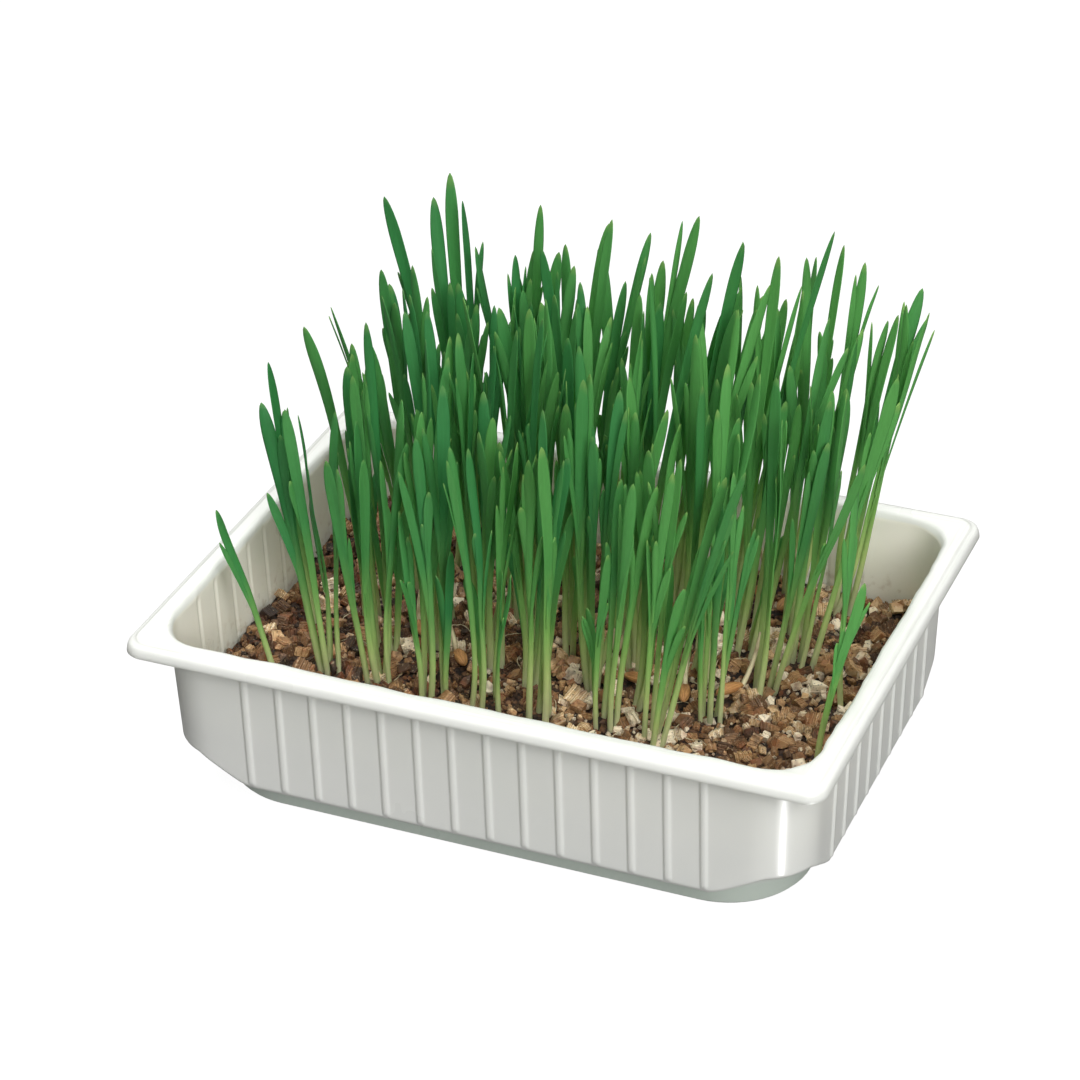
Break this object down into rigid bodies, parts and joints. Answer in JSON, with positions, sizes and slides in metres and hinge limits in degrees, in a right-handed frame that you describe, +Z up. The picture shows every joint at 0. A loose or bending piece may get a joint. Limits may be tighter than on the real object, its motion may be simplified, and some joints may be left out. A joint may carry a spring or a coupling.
{
  "type": "wheatgrass tray",
  "caption": "Young cereal grass growing in loose vermiculite in a ribbed white plastic tray with a flat flange.",
  "frame": {"origin": "centre of the tray's flat underside", "axes": "+X along the tray's long side, +Y along its short side towards the denser grass, +Z up"},
  "size_m": [0.187, 0.1405, 0.1419],
  "materials": {
    "tray": "satin white",
    "vermiculite": "rough, layered, damp",
    "grass": "satin, fresh green, pale at the foot",
    "grain": "dry husk"
  },
  "bodies": {
    "root": {"tray": "tray", "vermiculite_bed": "vermiculite", "grass_tuft_01": "grass", "grass_tuft_02": "grass", "grass_tuft_03": "grass", "grass_tuft_04": "grass", "grass_tuft_05": "grass", "grass_tuft_06": "grass", "grass_tuft_07": "grass", "grass_tuft_08": "grass", "grass_tuft_09": "grass", "grass_tuft_10": "grass", "grass_tuft_11": "grass", "grass_tuft_12": "grass", "grass_tuft_13": "grass", "grass_tuft_14": "grass", "grass_tuft_15": "grass", "grass_tuft_16": "grass", "grass_tuft_17": "grass", "grass_tuft_18": "grass", "grass_tuft_19": "grass", "grass_tuft_20": "grass", "grass_tuft_21": "grass", "grass_tuft_22": "grass", "grass_tuft_23": "grass", "grass_tuft_24": "grass", "grass_tuft_25": "grass", "grass_tuft_26": "grass", "grass_tuft_27": "grass", "grass_tuft_28": "grass", "grass_tuft_29": "grass", "grass_tuft_30": "grass", "grass_tuft_31": "grass", "grass_tuft_32": "grass", "grass_tuft_33": "grass", "grass_tuft_34": "grass", "grass_tuft_35": "grass", "grass_tuft_36": "grass", "grass_tuft_37": "grass", "grass_tuft_38": "grass", "grass_tuft_39": "grass", "grass_tuft_40": "grass", "grass_tuft_41": "grass", "grass_tuft_42": "grass", "grass_tuft_43": "grass", "grass_tuft_44": "grass", "grass_tuft_45": "grass", "grass_tuft_46": "grass", "stray_shoot_1": "grass", "stray_shoot_2": "grass", "stray_shoot_3": "grass", "stray_shoot_4": "grass", "grain_1": "grain", "grain_2": "grain", "grain_3": "grain", "grain_4": "grain", "grain_5": "grain", "grain_6": "grain", "grain_7": "grain", "grain_8": "grain"}
  },
  "joints": []
}
